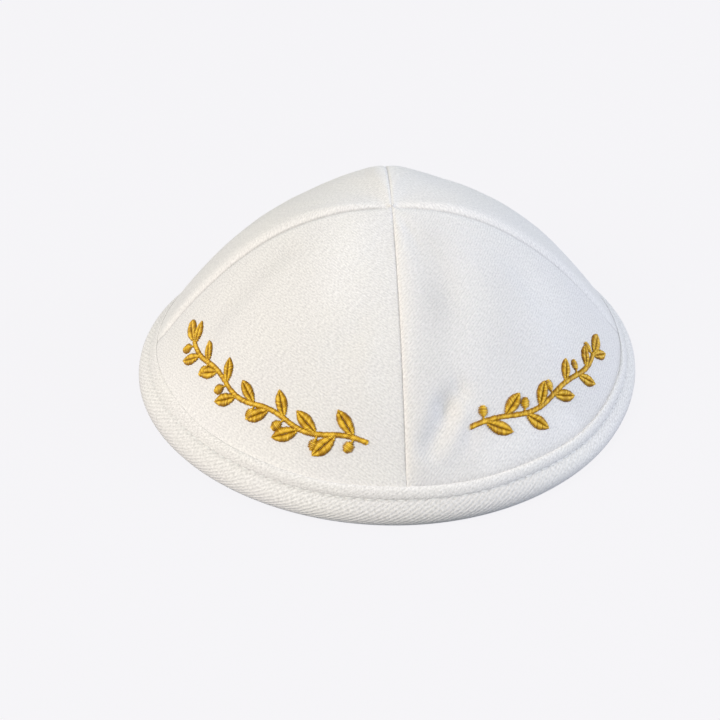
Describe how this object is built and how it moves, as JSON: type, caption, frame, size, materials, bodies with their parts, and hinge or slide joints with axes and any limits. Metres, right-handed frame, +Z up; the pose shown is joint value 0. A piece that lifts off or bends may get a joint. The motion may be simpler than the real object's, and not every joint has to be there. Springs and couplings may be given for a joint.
{
  "type": "kippah skullcap",
  "caption": "Shallow cloth skullcap sewn from quarter gores, with a folded binding round the rim and an open hollow for the crown of a head.",
  "frame": {"origin": "on the surface that the cap rests on, under the middle of its rim", "axes": "+Z up through the crown, front seam towards -Y, +X to the wearer's left when the front seam faces forward"},
  "size_m": [0.1718, 0.1686, 0.0638],
  "materials": {
    "crown_cloth": "matt brushed cotton twill, warm white",
    "binding_cloth": "matt bias-cut cotton twill, warm white",
    "gold_thread": "shiny embroidery thread, gold",
    "white_thread": "sewing thread, off-white"
  },
  "bodies": {
    "root": {"panel_front_left": "crown_cloth", "panel_front_right": "crown_cloth", "panel_back_left": "crown_cloth", "panel_back_right": "crown_cloth", "rim_binding": "binding_cloth"}
  },
  "joints": []
}
